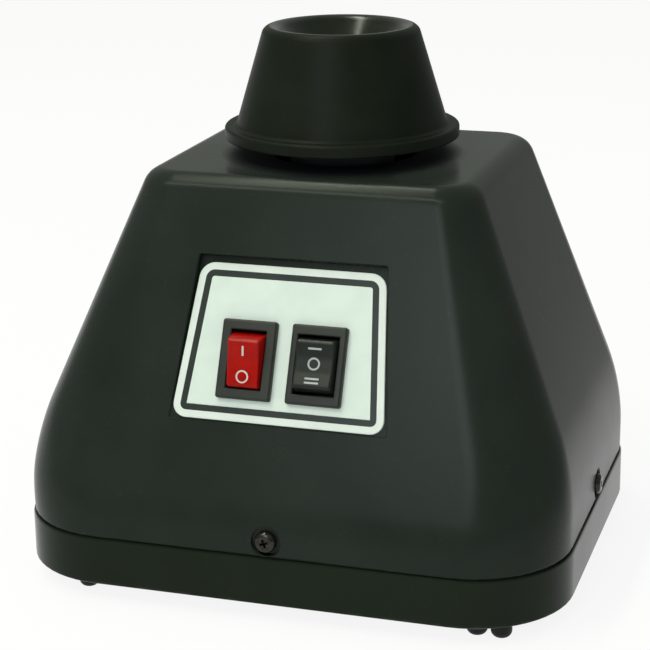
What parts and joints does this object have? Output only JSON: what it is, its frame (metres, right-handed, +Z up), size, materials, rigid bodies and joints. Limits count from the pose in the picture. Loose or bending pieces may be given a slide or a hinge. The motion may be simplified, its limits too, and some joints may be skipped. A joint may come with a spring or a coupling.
{
  "type": "vortex mixer",
  "caption": "Bench vortex mixer: tapered charcoal housing on a shallow tray, slanted label with two rocker switches, and a rubber cup that orbits without turning.",
  "frame": {"origin": "on the bench, under the middle of the tray", "axes": "+Z up, +X to the right of someone facing the switches, front towards -Y"},
  "size_m": [0.1534, 0.1294, 0.1466],
  "materials": {
    "housing_plastic": "satin charcoal, fine moulded grain",
    "tray_plastic": "satin charcoal",
    "foot_rubber": "matt black",
    "head_rubber": "soft sheen black",
    "black_screw": "blackened steel",
    "label_face": "white printed plate with a black line",
    "switch_black": "satin black",
    "rocker_red": "red",
    "steel": "bright",
    "aluminium": "cast",
    "hub_black": "black anodised",
    "brass": "bright",
    "copper_wire": "enamelled copper"
  },
  "bodies": {
    "base": {"ballast_plate": "steel", "base_tray": "tray_plastic", "cord_grommet": "foot_rubber", "field_coils": "copper_wire", "housing_screws": "black_screw", "isolator_lower_screws": "steel", "isolator_upper_screws": "steel", "label_plate": "label_face", "lower_bush": "brass", "motor_lower_bell": "aluminium", "motor_plate": "steel", "motor_tie_bolts": "steel", "motor_tie_nuts": "steel", "motor_upper_bell": "aluminium", "plate_screws": "steel", "plate_standoffs": "steel", "power_switch_body": "switch_black", "power_switch_terminals": "brass", "restraint_plate": "steel", "rubber_feet": "foot_rubber", "speed_switch_body": "switch_black", "speed_switch_terminals": "brass", "stator_core": "steel", "terminal_block": "switch_black", "terminal_screws": "steel", "upper_bush": "brass", "upper_housing": "housing_plastic", "vibration_isolators": "foot_rubber"},
    "rotor": {"motor_shaft": "steel", "rotor_core": "steel", "thrust_spacers": "brass", "cooling_fan": "switch_black", "eccentric_hub": "steel", "hub_set_screw": "steel", "bearing_inner_ring": "steel"},
    "cage": {"bearing_balls": "steel", "bearing_cage": "brass"},
    "head": {"mixing_cup": "head_rubber", "cup_hub": "hub_black", "bearing_outer_ring": "steel", "bearing_circlip": "steel", "restraint_pegs": "steel"},
    "power_rocker": {"power_rocker": "rocker_red"},
    "speed_rocker": {"speed_rocker": "switch_black"}
  },
  "joints": [
    {"name": "motor_spin", "type": "hinge", "parent": "base", "child": "rotor", "pos_m": [0, 0.01, 0.0414], "axis": [0, 0, 1], "continuous": true},
    {"name": "head_orbit", "type": "hinge", "parent": "rotor", "child": "head", "pos_m": [0, 0.008, 0.1083], "axis": [0, 0, 1], "continuous": true},
    {"name": "cage_roll", "type": "hinge", "parent": "rotor", "child": "cage", "pos_m": [0, 0.008, 0.1083], "axis": [0, 0, 1], "continuous": true},
    {"name": "power_rocker_tilt", "type": "hinge", "parent": "base", "child": "power_rocker", "pos_m": [-0.0096, -0.0458, 0.06553], "axis": [-1, 0, 0], "range_deg": [0, 30]},
    {"name": "speed_rocker_tilt", "type": "hinge", "parent": "base", "child": "speed_rocker", "pos_m": [0.0096, -0.0458, 0.06553], "axis": [-1, 0, 0], "range_deg": [-11, 11]}
  ],
  "couplings": [
    {"joint": "head_orbit", "follows": "motor_spin", "ratio": -1},
    {"joint": "cage_roll", "follows": "motor_spin", "ratio": -0.63}
  ]
}
